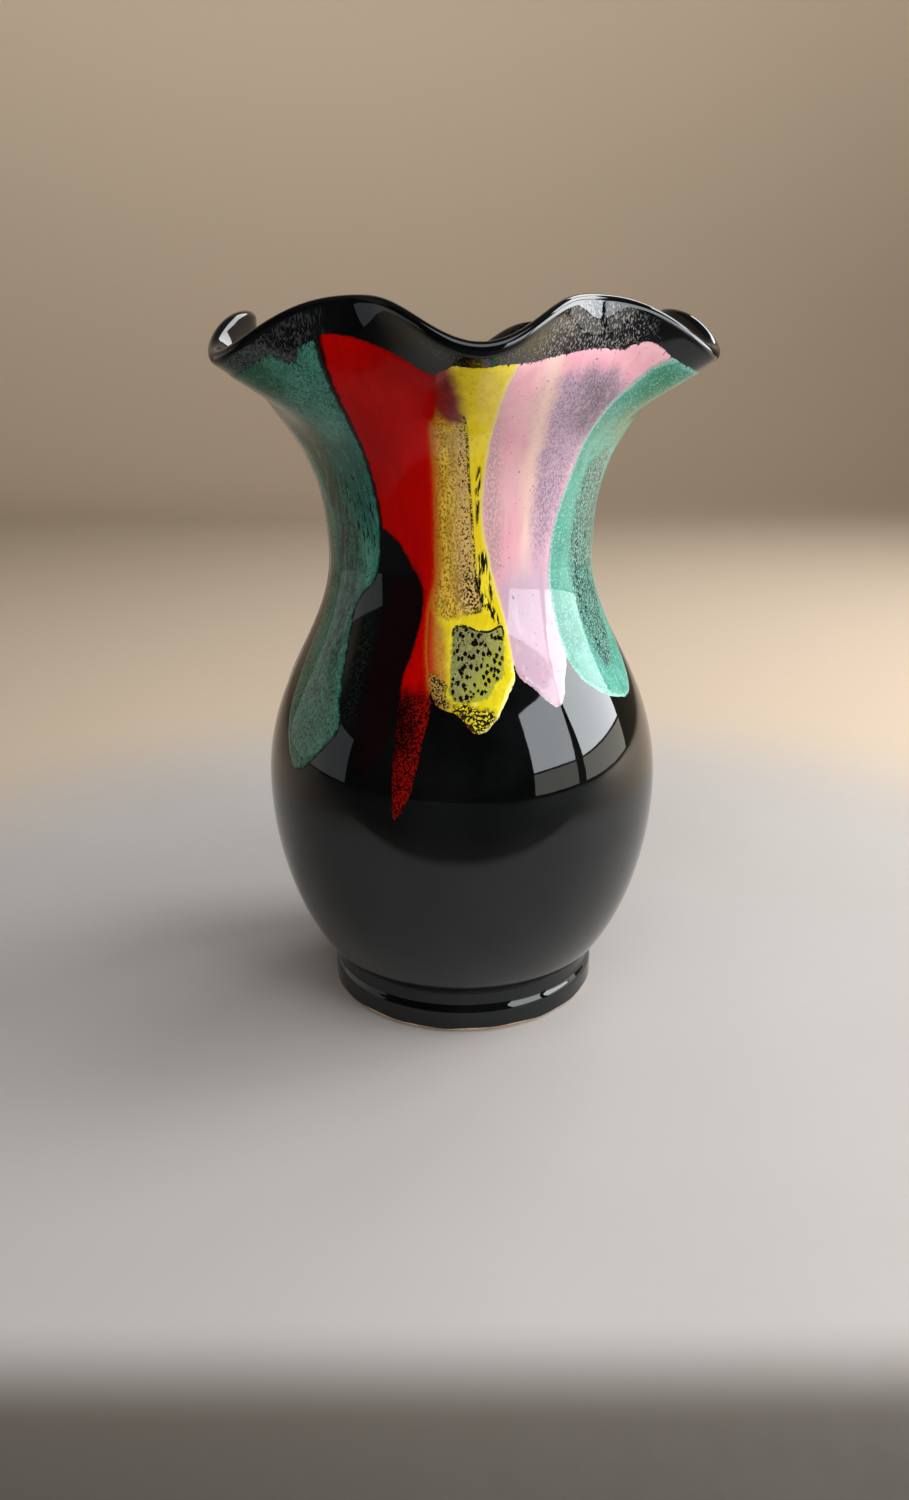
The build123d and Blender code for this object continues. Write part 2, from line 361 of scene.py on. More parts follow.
EDGES = {
    "green_run_1": (
        turned(PINK_GREEN, -120)[:8]
        + [(2, -76), (1.8, -73), (1.6, -71), (1.5, -69), (1.35, -66)]
        + [(1.25, -62.5), (1.18, -58.5), (1.14, -55), (1.13, -53)],
        GREEN_RED
        + [(2, -34), (1.93, -37), (1.88, -42), (1.8, -45.5), (1.7, -44.5), (1.6, -43), (1.5, -41)]
        + [(1.42, -39.5), (1.36, -37.5), (1.3, -38), (1.22, -43), (1.15, -49), (1.13, -53)],
    ),
    "red_run_1": (
        GREEN_RED
        + [(2.085, -31), (2.06, -26), (2.02, -22), (1.97, -18), (1.9, -15.6), (1.8, -16)]
        + [(1.65, -18), (1.55, -20), (1.45, -19.4), (1.3, -19.2), (1.15, -18.8), (1.07, -18.6)]
        + [(1.05, -17.5)],
        RED_YELLOW + [(1.44, -8.8), (1.35, -10), (1.2, -12), (1.1, -14.6), (1.05, -17.5)],
    ),
    "yellow_run_1": (
        RED_YELLOW + [(1.45, -7.5), (1.43, -5), (1.42, -2), (1.38, 1), (1.35, 3), (1.34, 5)],
        YELLOW_PINK + [(1.55, 17.9), (1.52, 16.6), (1.45, 13.4), (1.4, 10.8), (1.36, 8), (1.34, 5)],
    ),
    "pink_run_1": (
        YELLOW_PINK + [(1.55, 18.8), (1.51, 22), (1.46, 25.5), (1.42, 28.5), (1.41, 30)],
        PINK_GREEN + [(1.55, 37), (1.5, 35.2), (1.44, 33.2), (1.41, 30)],
    ),
    "green_run_2": (
        PINK_GREEN + [(1.5, 42.5), (1.45, 47), (1.41, 52), (1.385, 58), (1.37, 64)],
        turned(GREEN_RED, 120)
        + [(1.95, 87.5), (1.75, 84), (1.6, 80), (1.5, 76), (1.43, 72), (1.385, 68), (1.37, 64)],
    ),
}
DRAWN = {"green": "green_run_2", "red": "red_run_1", "yellow": "yellow_run_1", "pink": "pink_run_1"}
ORDER = ("green", "red", "yellow", "pink")
REPEAT = 120.0
PARTING_WAY = 1.6  # below this the edges of a copied run stretch to reach its own tip
# Where the colours begin under the lip: azimuth and way, coming back every REPEAT degrees
TOP_LINE = [(-78, 2.87), (-76, 2.9), (-72, 2.94), (-66, 2.935), (-58, 2.95), (-50, 2.955)]
TOP_LINE += [(-44, 2.945), (-42, 2.88), (-40, 2.87), (-38.5, 2.915), (-34, 2.91), (-32.5, 2.925)]
TOP_LINE += [(-20, 2.885), (-12, 2.87), (-6, 2.85), (-3.5, 2.9), (-1, 2.95), (3, 2.96), (7, 2.96)]
TOP_LINE += [(10, 2.945), (13, 2.915), (17, 2.88), (26, 2.85), (36, 2.855), (40, 2.86)]
TOP_WAY = 2.985


def top_way(azimuth):
    places, ways = np.array(TOP_LINE).T
    return np.interp(azimuth, places, ways, period=REPEAT)


def way_at_height(height):
    """The way up the wall, below the neck, where its height in millimetres is reached."""
    ways = np.linspace(0, 2, 400)
    return float(np.interp(height, outside(0.0, ways)[:, 1], ways))


def run_edges(name):
    """Left and right edge of a run, as azimuth over way, and its tip's way."""
    colour, _, number = name.split("_")
    source = name if name in EDGES else DRAWN[colour]
    degrees = REPEAT * (int(number) - int(source[-1]))
    left, right = (turned(edge, degrees) for edge in EDGES[source])
    tip = min(way for way, azimuth in left)
    if source == name:
        return left, right, tip
    own_tip = way_at_height(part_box(name)[0].z / MM)
    stretch = (PARTING_WAY - own_tip) / (PARTING_WAY - tip)

    def stretched(edge):
        points = []
        for way, azimuth in edge:
            if way <= PARTING_WAY:
                way = PARTING_WAY - (PARTING_WAY - way) * stretch
            points.append((way, azimuth))
        return points

    return stretched(left), stretched(right), own_tip


WAYS = np.linspace(1.0, 3.0, 321)
RUN_NAMES = [f"{colour}_run_{number}" for number in (1, 2, 3) for colour in ORDER]
run_left, run_right, run_tip = {}, {}, {}
for name in RUN_NAMES:
    left, right, tip = run_edges(name)
    for store, edge in ((run_left, left), (run_right, right)):
        line = curved(edge, closed=False)[::-1]
        ways = np.maximum.accumulate(line[:, 0])
        store[name] = np.where(WAYS >= tip, np.interp(WAYS, ways, line[:, 1]), np.nan)
    run_tip[name] = tip

# Neighbours that would overlap meet halfway, and the gap between the others is kept.
gap_left, gap_right = {}, {}
for number, name in enumerate(RUN_NAMES):
    beside = RUN_NAMES[(number + 1) % len(RUN_NAMES)]
    turn = 360.0 if number == len(RUN_NAMES) - 1 else 0.0
    gap = run_left[beside] + turn - run_right[name]
    overlap = np.where(gap < 0, -gap / 2, 0)
    run_right[name] = run_right[name] - overlap
    run_left[beside] = run_left[beside] + overlap
    gap = np.where(np.isnan(gap), np.inf, np.maximum(gap, 0))
    gap_right[name] = gap
    gap_left[beside] = gap

TOUCHING = 0.15  # edges closer than this, in degrees, count as one seam
OPEN_GAP = 99.0  # degrees, where a run has no neighbour beside it
TINY = 1e-6


def free_lines(name):
    """The chart pieces of a run's edges that don't touch a neighbour, and of its top."""
    starts, ends = [], []
    for edge, gap in ((run_left[name], gap_left[name]), (run_right[name], gap_right[name])):
        line = chart(edge, WAYS)
        free = (gap > TOUCHING) & ~np.isnan(edge)
        for index in np.flatnonzero(free[:-1] & ~np.isnan(edge[1:])):
            starts.append(line[index])
            ends.append(line[index + 1])
    tip = np.flatnonzero(~np.isnan(run_left[name]))[0]
    starts.append(chart(run_left[name][tip], WAYS[tip]))
    ends.append(chart(run_right[name][tip], WAYS[tip]))
    azimuths = np.linspace(run_left[name][-1] - 2, run_right[name][-1] + 2, 60)
    line = chart(azimuths, top_way(azimuths))
    return starts + list(line[:-1]), ends + list(line[1:])


def wander(places):
    """Small unevenness of a free edge, in millimetres."""
    x, y = places[..., 0], places[..., 1]
    return EDGE_WANDER * (
        0.5 * np.sin(x * 2.3 + y * 0.7)
        + 0.5 * np.sin(x * 4.9 - y * 1.9 + 1.0)
        + 0.4 * np.sin(y * 3.1 + x * 1.1 + 2.0)
    )


def run_piece(name, material, outlines, drawn_at):
    """One coloured run as a thin closed solid, with the distances that its material reads."""
    number = RUN_NAMES.index(name)
    tip = run_tip[name]
    ways = np.linspace(tip - RUN_MARGIN / CHART_ALONG, TOP_WAY, RUN_ROWS)
    margins = []
    for edge, gap, side in ((run_left[name], gap_left[name], -1), (run_right[name], gap_right[name], 1)):
        known = ~np.isnan(edge)
        room = np.interp(ways, WAYS[known], np.minimum(gap[known], OPEN_GAP) / 2)
        room = np.minimum(room, RUN_MARGIN / CHART_ACROSS)
        margins.append(np.interp(ways, WAYS[known], edge[known]) + side * room)
    left, right = margins
    share = np.linspace(0, 1, RUN_COLUMNS)
    azimuth = left[:, None] + (right - left)[:, None] * share
    way = np.broadcast_to(ways[:, None], azimuth.shape)
    places = chart(azimuth, way)

    known = ~np.isnan(run_left[name])
    own_left = np.interp(way, WAYS[known], run_left[name][known])
    own_right = np.interp(way, WAYS[known], run_right[name][known])
    within = (azimuth >= own_left - TINY) & (azimuth <= own_right + TINY)
    within &= (way >= tip) & (way <= top_way(azimuth))
    starts, ends = [], []
    for step in (-1, 0, 1):
        near = RUN_NAMES[(number + step) % len(RUN_NAMES)]
        turn = 360.0 * ((number + step) // len(RUN_NAMES))
        near_starts, near_ends = free_lines(near)
        starts += [start + chart(turn, 0) for start in near_starts]
        ends += [end + chart(turn, 0) for end in near_ends]
    distance = distance_to(places, np.array(starts), np.array(ends))
    free = np.where(within, distance, -distance)
    height = RUN_THICKNESS * smooth((free + wander(places) + 0.4) / RUN_EDGE_WIDTH) - RUN_SINK

    surface = placed(azimuth, outside(azimuth, way))
    normal = normals(surface)
    attributes = {"free": free, "top": (top_way(azimuth) - way) * CHART_ALONG}
    for key, edge, side in (("left", run_left[name], 1), ("right", run_right[name], -1)):
        line = chart(edge[known], WAYS[known])
        beside = side * (azimuth - np.interp(way, WAYS[known], edge[known]))
        attributes[key] = np.sign(beside + 1e-9) * distance_to(places, line[:-1], line[1:])
    turn = chart(REPEAT * (number // len(ORDER) - drawn_at), 0)
    for key, outline in outlines.items():
        attributes[key] = depth_inside(places - turn, outline)
    top = surface + normal * (height * MM)[..., None]
    bottom = surface - normal * RUN_UNDERSIDE * MM
    piece = sheet_solid(name + "_glaze", top, bottom, material, attributes)
    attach(piece, "root")
    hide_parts(name)
    return piece


# ---- materials
FLOOR_PAINTED_POOL = 0.15  # metres from the vase's middle to where the pale floor, a painted pool of light, starts to change its tone
FLOOR_PAINTED_POOL_END = 0.28
FLOOR_FRONT = -0.115  # in front of the vase, along Y, it changes sooner, into painted shade
FLOOR_PAINTED_SHADE_AT = -0.135
FLOOR_PAINTED_SHADE_FULL = -0.2  # further out it is dark in front of this place, as painted shade, and warm behind the next
FLOOR_WARM = 0.15
GLOSS_TINT = (0.9, 0.96, 1.0, 1.0)


def tint(code):
    """A colour from its six-digit display code."""
    parts = [int(code[place : place + 2], 16) / 255 for place in (0, 2, 4)]
    linear = [part / 12.92 if part <= 0.04045 else ((part + 0.055) / 1.055) ** 2.4 for part in parts]
    return (*linear, 1.0)


class Paint:
    """A material whose node tree is built step by step."""

    def __init__(self, name):
        self.material = bpy.data.materials.new(name)
        self.material.use_nodes = True
        self.tree = self.material.node_tree
        self.surface = self.tree.nodes["Principled BSDF"]
        self.place = self.add("ShaderNodeTexCoord").outputs["Object"]

    def add(self, kind, inputs=None, **settings):
        node = self.tree.nodes.new(kind)
        for key, value in settings.items():
            setattr(node, key, value)
        for key, value in (inputs or {}).items():
            self.feed(node.inputs[key], value)
        return node

    def feed(self, socket, value):
        """Links a socket to a node, or sets it to a number or to the colour of a display code."""
        if isinstance(value, bpy.types.NodeSocket):
            self.tree.links.new(value, socket)
        else:
            socket.default_value = tint(value) if isinstance(value, str) else value

    def scaled_place(self, size, stretch):
        """The place in cells of the given size in millimetres, stretched upright."""
        cells = 1 / (size * MM)
        inputs = {"Vector": self.place, "Scale": (cells, cells, cells / stretch)}
        return self.add("ShaderNodeMapping", inputs).outputs["Vector"]

    def noise(self, size, stretch=1.0, detail=2.0):
        inputs = {"Vector": self.scaled_place(size, stretch), "Scale": 1.0, "Detail": detail}
        return self.add("ShaderNodeTexNoise", inputs).outputs["Fac"]

    def spots(self, size, radius, stretch, soft):
        """Scattered spots with uneven outlines. The radius is a share of the cell size."""
        inputs = {"Vector": self.scaled_place(size, stretch), "Scale": 1.0}
        cells = self.add("ShaderNodeTexVoronoi", inputs).outputs["Distance"]
        reach = self.math("ADD", cells, self.wobble(0.7, size * 0.4))
        return self.ramp(reach, radius - soft, radius + soft, 1.0, 0.0)

    def wobble(self, reach, size, stretch=1.0, detail=2.0):
        """A fine unevenness of half the reach either way."""
        return self.math("MULTIPLY", self.math("SUBTRACT", self.noise(size, stretch, detail), 0.5), reach)

    def math(self, operation, first, second):
        return self.add("ShaderNodeMath", {0: first, 1: second}, operation=operation).outputs[0]

    def ramp(self, value, low, high, start=0.0, end=1.0):
        inputs = {"Value": value, "From Min": low, "From Max": high, "To Min": start, "To Max": end}
        return self.add("ShaderNodeMapRange", inputs, interpolation_type="SMOOTHSTEP").outputs["Result"]

    def axis(self, name):
        return self.add("ShaderNodeSeparateXYZ", {"Vector": self.place}).outputs[name]

    def height(self, low, high):
        """0 below one height in millimetres and 1 above another."""
        return self.ramp(self.axis("Z"), low * MM, high * MM)

    def distance(self, key):
        return self.add("ShaderNodeAttribute", attribute_name=key).outputs["Fac"]

    def beside(self, key, near, far, strength):
        """Fades out away from one of the run's edges."""
        return self.ramp(self.distance(key), near, far, strength, 0.0)

    def mix(self, share, first, second):
        return self.add("ShaderNodeMix", {"Factor": share, 6: first, 7: second}, data_type="RGBA").outputs[2]

    def grain(self, size, level, stretch=1.0, soft=0.03):
        """Specks: 1 where a fine noise is above the level."""
        return self.ramp(self.noise(size, stretch), level - soft, level + soft)

    def varied(self, first, second, size, stretch=1.0, detail=2.0):
        """A slow change between two colours."""
        return self.mix(self.ramp(self.noise(size, stretch, detail), 0.35, 0.65), first, second)

    def along(self, distance, inner, outer, strength=1.0):
        """A line that fades out between two distances in millimetres on either side."""
        return self.ramp(self.math("ABSOLUTE", distance, 0.0), inner, outer, strength, 0.0)

    def within(self, key, ragged, size, stretch, soft):
        """1 inside a zone, with an uneven edge. Both measures of the edge are in millimetres."""
        edge = self.math("ADD", self.distance(key), self.wobble(4 * ragged, size, stretch, 3.0))
        return self.ramp(edge, -soft, soft)

    def patch(self, colour, other, key, ragged, size, stretch, soft):
        """Another colour within a zone."""
        return self.mix(self.within(key, ragged, size, stretch, soft), colour, other)

    def specks(self, colour, other, share, size, level, stretch, soft):
        """Specks of another colour, in some places only."""
        return self.mix(self.both(share, self.grain(size, level, stretch, soft)), colour, other)

    def both(self, first, second):
        return self.math("MULTIPLY", first, second)

    def finish(self, colour, gloss, specular):
        """Sets the colour, an uneven gloss and the small unevenness of a melted surface."""
        smoothest, roughest, ripple_height, ripple_size = gloss
        self.feed(self.surface.inputs["Base Color"], colour)
        uneven = self.ramp(self.noise(7.0), 0.3, 0.7, smoothest, roughest)
        self.feed(self.surface.inputs["Roughness"], uneven)
        for key, value in (("IOR", 1.52), ("Specular IOR Level", specular), ("Specular Tint", GLOSS_TINT)):
            self.surface.inputs[key].default_value = value
        ripple = self.noise(ripple_size, 1.0, 1.0)
        bump = self.add("ShaderNodeBump", {"Strength": 1.0, "Distance": ripple_height * MM, "Height": ripple})
        self.feed(self.surface.inputs["Normal"], bump.outputs["Normal"])
        return self.material


BLACK = "0b0c0c"

# Each gloss: lowest and highest roughness, then height and size of the ripples in millimetres
BLACK_GLOSS = (0.015, 0.04, 0.005, 3.0)
RUN_GLOSS = (0.035, 0.075, 0.012, 2.6)
CLAY_GLOSS = (0.7, 0.9, 0.03, 0.8)
FLOOR_GLOSS = (0.75, 0.85, 0.02, 1.5)
MILD, PLAIN = 0.4, 0.5     # specular levels


def neighbour(paint, colour, other, key, ragged, soft, line=None):
    """The neighbouring run's colour comes through along a shared edge, with a thin line between."""
    side = 1 if key == "right" else -1
    place = paint.math("ADD", paint.distance(key), paint.wobble(4 * ragged * side, 1, 2.5, 3))
    own = paint.ramp(place, -soft, soft)
    colour = paint.mix(own, other, colour)
    if line is None:
        return colour
    tone, width, strength = line
    return paint.mix(paint.along(place, width * 0.3, width, strength), colour, tone)


def free_edge(paint, colour, ragged, soft, teeth_length=3):
    """The colour thins out into specks of black towards its free edge and its jagged top."""
    edge = paint.math("ADD", paint.distance("free"), paint.wobble(4 * ragged, 0.55, 1.3, 3))
    shown = paint.ramp(edge, -soft, soft)
    top = paint.math("ADD", paint.distance("top"), paint.wobble(teeth_length, 0.6, 5, 3))
    below = paint.ramp(top, -0.2, 0.4)
    return paint.mix(paint.both(shown, below), BLACK, colour)


def streaked(paint, colour, size, dark, light, strength=0.3):
    """Faint streaks down the wall, where the melt ran."""
    shade = paint.ramp(paint.noise(size, 14, 3), 0.5, 0.72, 0, strength)
    shine = paint.ramp(paint.noise(size * 1.3, 12, 3), 0.52, 0.74, 0, strength)
    return paint.mix(shine, paint.mix(shade, colour, dark), light)


def liner_black():
    paint = Paint("black_liner_glaze")
    colour = paint.varied("060707", "101112", 14)
    return paint.finish(colour, BLACK_GLOSS, MILD)


def outside_black():
    """The black glaze, with pale specks in the band under the lip where colour was spattered."""
    paint = Paint("black_outside_glaze")
    colour = paint.varied("050606", "0c0d0e", 14)
    for key, code, level, stretch in (
        ("olive", "66642c", 0.59, 1.2),
        ("pale", "8a8585", 0.57, 1.8),
        ("streaks", "2f4a40", 0.52, 6),
        ("greys", "3f4043", 0.53, 6),
        ("crackle", "1d2321", 0.56, 2.5),
        ("wash", "140205", 0.4, 4),
    ):
        colour = paint.specks(colour, code, paint.within(key, 1.2, 1.8, 1.5, 2.2), 0.34, level, stretch, 0.07)
    dust = paint.both(paint.grain(0.35, 0.74, 1, 0.01), paint.ramp(paint.noise(12), 0.5, 0.6))
    colour = paint.mix(dust, colour, "3a3a3a")
    return paint.finish(colour, BLACK_GLOSS, PLAIN)


def green_deep():
    paint = Paint("green_glaze_deep")
    colour = paint.varied("3f7f6e", "53927f", 6, 3)
    colour = paint.patch(colour, "2f5f42", "grass", 1, 3, 2, 3)
    colour = paint.patch(colour, "1b6055", "deep", 1.2, 3, 3, 3.5)
    colour = paint.patch(colour, "24482f", "fern", 1, 2.5, 3, 2)
    wisps = paint.ramp(paint.noise(0.7, 6), 0.35, 0.65, 0.45, 1)
    veil = paint.both(paint.within("veil", 1.2, 2.5, 3, 2.4), wisps)
    colour = paint.mix(veil, colour, "393c36")
    colour = paint.patch(colour, "54755c", "sage", 0.8, 2, 4, 1.6)
    colour = paint.patch(colour, "47705a", "bulb", 1, 2, 1, 2.6)
    colour = streaked(paint, colour, 0.8, "17332b", "6c9486", 0.5)
    mottle = paint.both(paint.grain(0.36, 0.55, 1.6, 0.05), paint.ramp(paint.noise(7), 0.35, 0.6, 0.3, 0.8))
    colour = paint.mix(mottle, colour, "1a352b")
    colour = paint.specks(colour, "213d30", paint.within("bulb", 1, 2, 1, 1.6), 0.5, 0.57, 1.6, 0.03)
    colour = paint.specks(colour, "0c1512", paint.within("cracks", 0.8, 1.5, 4, 0.8), 0.6, 0.6, 7, 0.02)
    halo = paint.beside("free", 0.3, 2, 0.6)
    colour = paint.specks(colour, "0f1a16", halo, 0.36, 0.52, 1.2, 0.06)
    colour = neighbour(paint, colour, "7a0f0a", "right", 0.3, 0.15, ("0a0e0d", 0.9, 0.95))
    return paint.finish(free_edge(paint, colour, 0.45, 0.35, 4.5), RUN_GLOSS, 0.22)


def green_mint():
    paint = Paint("green_glaze_mint")
    colour = paint.varied("3d8f7e", "5ea595", 4, 3)
    colour = paint.patch(colour, "36885f", "strip", 1, 3, 3, 3)
    centre = paint.within("centre", 0.7, 1.5, 4, 1.8)
    colour = paint.mix(centre, colour, "5f857b")
    core = paint.within("centre", 0.7, 1.5, 4, 0.6)
    grains = paint.both(centre, paint.grain(0.34, 0.5, 2, 0.08))
    colour = paint.mix(grains, colour, "36433f")
    runnels = paint.both(core, paint.ramp(paint.noise(1.3, 9), 0.46, 0.62))
    colour = paint.specks(colour, "171d1c", runnels, 0.36, 0.46, 2.5, 0.06)
    mottle = paint.both(paint.grain(0.38, 0.52, 1.4, 0.05), paint.ramp(paint.noise(5), 0.35, 0.6, 0.5, 1))
    colour = paint.mix(mottle, colour, "23695a")
    colour = paint.mix(paint.both(paint.grain(0.38, 0.56, 1.4, 0.05), 0.5), colour, "a2dccb")
    rim = paint.beside("left", 0.2, 1, 0.7)
    colour = paint.specks(colour, "b0dccf", rim, 0.3, 0.45, 2, 0.1)
    halo = paint.beside("free", 0.4, 1.4, 0.6)
    colour = paint.specks(colour, "a5d9c8", halo, 0.3, 0.5, 1.2, 0.1)
    colour = neighbour(paint, colour, "bda2b4", "left", 0.2, 0.2)
    colour = neighbour(paint, colour, "8c0f0a", "right", 0.3, 0.2, ("0a0e0d", 0.9, 0.95))
    return paint.finish(free_edge(paint, colour, 0.25, 0.25), RUN_GLOSS, 0.22)


def red_glaze():
    paint = Paint("red_glaze")
    colour = paint.varied("a80301", "b90502", 9, 4)
    colour = paint.patch(colour, "b00301", "glow", 1, 3, 3, 3)
    colour = streaked(paint, colour, 2.2, "900502", "bc150c", 0.35)
    upper = paint.within("upper", 0.6, 2, 2, 1.5)
    fringe = paint.beside("right", 0, 1.4, 0.6)
    fringe = paint.both(fringe, paint.math("SUBTRACT", 1, upper))
    colour = paint.specks(colour, "b8500f", fringe, 0.35, 0.5, 3, 0.15)
    colour = neighbour(paint, colour, "3f6f62", "left", 0.3, 0.15, ("0f0606", 0.9, 0.95))
    colour = neighbour(paint, colour, paint.mix(upper, "b8821f", "8a1410"), "right", 0.15, 0.8)
    embers = paint.mix(paint.grain(0.38, 0.57, 1.5, 0.08), "120203", "5c0a06")
    bright = paint.mix(paint.grain(0.38, 0.5, 1.5, 0.08), "1c0303", "860c07")
    embers = paint.mix(paint.within("glint", 1.2, 2, 2, 1.8), embers, bright)
    colour = paint.mix(paint.within("tail", 1.2, 2, 2, 2.4), colour, embers)
    wash = paint.within("wash", 1, 2, 3, 1.2)
    colour = paint.mix(wash, colour, paint.mix(paint.grain(0.6, 0.5, 3, 0.15), "1c0405", "0c0707"))
    return paint.finish(free_edge(paint, colour, 0.35, 1, 1.5), RUN_GLOSS, 0.12)


def yellow_glaze():
    paint = Paint("yellow_glaze")
    # Painted light and shade: the yellow is darker below 85 mm and lighter above 115 mm, for light that falls
    # more strongly on the upper part
    low = paint.varied("d6c61a", "e6d828", 3, 8)
    high = paint.varied("f2d424", "fae238", 3, 8)
    colour = paint.mix(paint.height(85, 115), low, high)
    colour = streaked(paint, colour, 0.8, "cfa81c", "fbee62", 0.4)

    # Mustard ground: dotted with brown, and more and more with black towards the bright yellow
    mustard = paint.within("mustard", 0.6, 1, 3, 0.8)
    ground = paint.varied("c79a2c", "e6c248", 1.6, 5)
    ground = paint.mix(paint.beside("left", 0.2, 2.6, 0.9), ground, "c86a20")
    ground = paint.mix(paint.grain(0.38, 0.54, 1.6, 0.06), ground, "8f691f")
    tan = paint.within("tan", 0.4, 1.2, 3, 2.4)
    ground = paint.mix(paint.both(tan, 0.7), ground, "dcb878")
    sparse = paint.mix(paint.grain(0.4, 0.58, 1.3, 0.03), ground, "17130d")
    dense = paint.mix(paint.grain(0.4, 0.49, 1.3, 0.03), ground, "17130d")
    ground = paint.mix(tan, ground, paint.mix(paint.height(102, 116), dense, sparse))
    colour = paint.mix(mustard, colour, ground)
    rim = paint.along(paint.distance("mustard"), 0.1, 0.5)
    rim = paint.both(rim, paint.within("tan", 0.2, 1, 1, 1))
    colour = paint.specks(colour, "14110b", rim, 0.36, 0.48, 1.4, 0.04)
    maroon = paint.within("maroon", 0.3, 2, 3, 1.3)
    plum = paint.mix(paint.ramp(paint.distance("left"), 0.5, 4), "95201a", "7a4246")
    plum = paint.mix(paint.ramp(paint.noise(1.5, 7), 0.4, 0.7, 0, 0.6), plum, "5c2226")
    colour = paint.mix(maroon, colour, plum)

    # Red melting into mustard beside the patch, and olive specks under it
    fringe = paint.within("fringe", 0.5, 1.2, 4, 1.4)
    embers = paint.mix(paint.grain(0.36, 0.5, 3, 0.06), "c4742a", "b3923a")
    embers = paint.mix(paint.ramp(paint.distance("left"), 0.2, 2.8), "b52a14", embers)
    colour = paint.mix(fringe, colour, embers)
    olive = paint.within("olive", 0.8, 1.2, 1, 0.9)
    colour = paint.mix(olive, colour, paint.mix(paint.grain(0.38, 0.5, 1.2, 0.05), "a88a45", "1d150f"))

    # The patch: black spots on a greenish grey that turns yellow towards its lower right
    leopard = paint.within("leopard", 0.15, 1, 1, 0.25)
    ground = paint.mix(paint.within("ashes", 0.8, 2, 1, 3.5), "a8a824", "7c7c50")
    ground = paint.mix(paint.grain(0.5, 0.54, 1.5, 0.06), ground, "96965f")
    colour = paint.mix(leopard, colour, ground)
    inner = paint.within("leopard", 0.15, 1, 1, 0.6)
    colour = paint.mix(paint.both(inner, paint.spots(0.95, 0.42, 1.9, 0.04)), colour, "0b0b0b")
    outline = paint.along(paint.distance("leopard"), 0.15, 0.35)
    outline = paint.both(outline, paint.within("brow", 0.2, 1, 1, 0.4))
    colour = paint.specks(colour, "1c1c10", outline, 0.8, 0.42, 1, 0.05)
    for key in ("fleck", "curl", "sweep"):
        colour = paint.specks(colour, "14140c", paint.within(key, 0.25, 0.9, 3, 0.35), 0.5, 0.5, 9, 0.03)
    colour = paint.specks(colour, "1f1d14", paint.within("foam", 0.6, 1.2, 1, 0.6), 0.45, 0.45, 1, 0.04)
    cream = paint.beside("right", 0.1, 0.9, 0.6)
    colour = paint.mix(cream, colour, "ebe298")
    upper = paint.within("upper", 0.6, 2, 2, 1.5)
    colour = neighbour(paint, colour, paint.mix(upper, "b0380f", "9c0c08"), "left", 0.15, 0.8)
    colour = neighbour(paint, colour, "e0c6c4", "right", 0.15, 0.3)
    return paint.finish(free_edge(paint, colour, 0.4, 0.25), RUN_GLOSS, MILD)


def pink_glaze():
    paint = Paint("pink_glaze")
    colour = paint.varied("f0aebc", "f7c0c8", 6, 4)
    lilac = paint.within("lilac", 1, 3, 3, 3)
    colour = paint.mix(lilac, colour, "c4a5b8")
    grains = paint.both(lilac, paint.grain(0.36, 0.52, 2, 0.06))
    colour = paint.mix(paint.both(grains, 0.8), colour, "8c7a8e")
    dusk = paint.within("dusk", 1, 3, 3, 4)
    smoke = paint.ramp(paint.noise(0.4, 1.6), 0.35, 0.65, 0.5, 1)
    colour = paint.mix(paint.both(dusk, smoke), colour, "665b67")
    colour = paint.mix(paint.both(paint.within("cream", 0.6, 2.5, 6, 1.8), 0.85), colour, "fbd9c6")
    colour = paint.patch(colour, "c0a4b6", "lavender", 1.2, 3, 3, 4)
    colour = streaked(paint, colour, 1.2, "cf98aa", "f0d4d6", 0.22)
    beige = paint.within("beige", 0.8, 2, 4, 1.6)
    colour = paint.specks(colour, "c4a6a4", beige, 0.34, 0.49, 2, 0.1)
    colour = paint.mix(paint.grain(0.7, 0.72, 1, 0.01), colour, "7a5562")
    colour = neighbour(paint, colour, "e6dc80", "left", 0.15, 0.3)
    colour = neighbour(paint, colour, "76b8a6", "right", 0.2, 0.3, ("a09aa8", 0.6, 0.5))
    return paint.finish(free_edge(paint, colour, 0.35, 0.35, 3.5), RUN_GLOSS, MILD)


def bisque_clay():
    """Unglazed fired clay, where the glaze was wiped off the foot."""
    paint = Paint("fired_clay")
    colour = paint.varied("b59a7d", "d0b89b", 4, 1, 4)
    colour = paint.mix(paint.grain(0.6, 0.62, 1), colour, "7f6650")
    material = paint.finish(colour, CLAY_GLOSS, MILD)
    paint.surface.inputs["IOR"].default_value = 1.45
    return material


def pale_floor():
    """A painted pool of light, pale round the vase, warm behind it and dim far in front as painted shade, so
    that black glaze stays black.
    """
    paint = Paint("pale_floor")
    reach = paint.add("ShaderNodeVectorMath", {0: paint.place}, operation="LENGTH").outputs["Value"]
    # Painted light: the backdrop is made lighter up to 1.2 m high
    backdrop = paint.mix(paint.ramp(paint.axis("Z"), 0, 1.2), "cdbba5", "f3e2cc")
    # Far out: painted shade in front of the vase, and the backdrop's tone behind it
    far = paint.mix(paint.ramp(paint.axis("Y"), FLOOR_PAINTED_SHADE_FULL, FLOOR_WARM), "3c3a37", backdrop)
    # Pale near the vase as a painted pool of light, ending sooner in front where the painted shade begins
    near = paint.ramp(reach, FLOOR_PAINTED_POOL, FLOOR_PAINTED_POOL_END, 1, 0)
    near = paint.both(near, paint.ramp(paint.axis("Y"), FLOOR_PAINTED_SHADE_AT, FLOOR_FRONT))
    colour = paint.mix(near, far, paint.mix(paint.noise(60, 1, 3), "b3afac", "bab6b3"))
    return paint.finish(colour, FLOOR_GLOSS, PLAIN)


